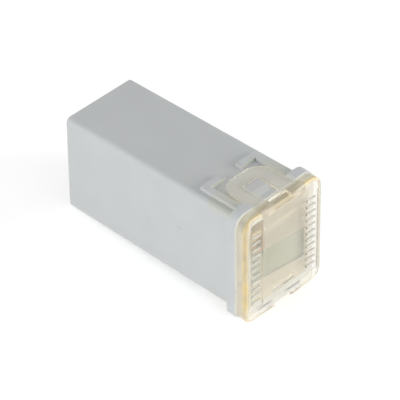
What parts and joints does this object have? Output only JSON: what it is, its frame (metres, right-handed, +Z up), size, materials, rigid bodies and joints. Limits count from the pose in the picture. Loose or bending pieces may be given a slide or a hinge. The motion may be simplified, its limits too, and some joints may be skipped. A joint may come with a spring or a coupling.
{
  "type": "fusible link",
  "caption": "Fusible link on its side: a rectangular white housing open at the terminal end, with a collar, latch frames and a clear clip-on cap over a folded fuse element.",
  "frame": {"origin": "under the middle of the part, on the plane that the collar rests on", "axes": "+X along the length from the open terminal end to the face of the clear cap, +Y across, +Z up"},
  "size_m": [0.0362, 0.016, 0.0188],
  "materials": {
    "housing_plastic": "moulded, slightly translucent cool white with a soft sheen",
    "clear_plastic": "polished, clear with a faint amber tint that deepens along the edges",
    "tinned_strip": "tin-plated copper alloy, satin, with bare copper on the cut edges",
    "tin": "cast tin, dull"
  },
  "bodies": {
    "root": {"housing": "housing_plastic", "clear_cap": "clear_plastic", "fuse_element": "tinned_strip", "tin_pellet": "tin"}
  },
  "joints": []
}
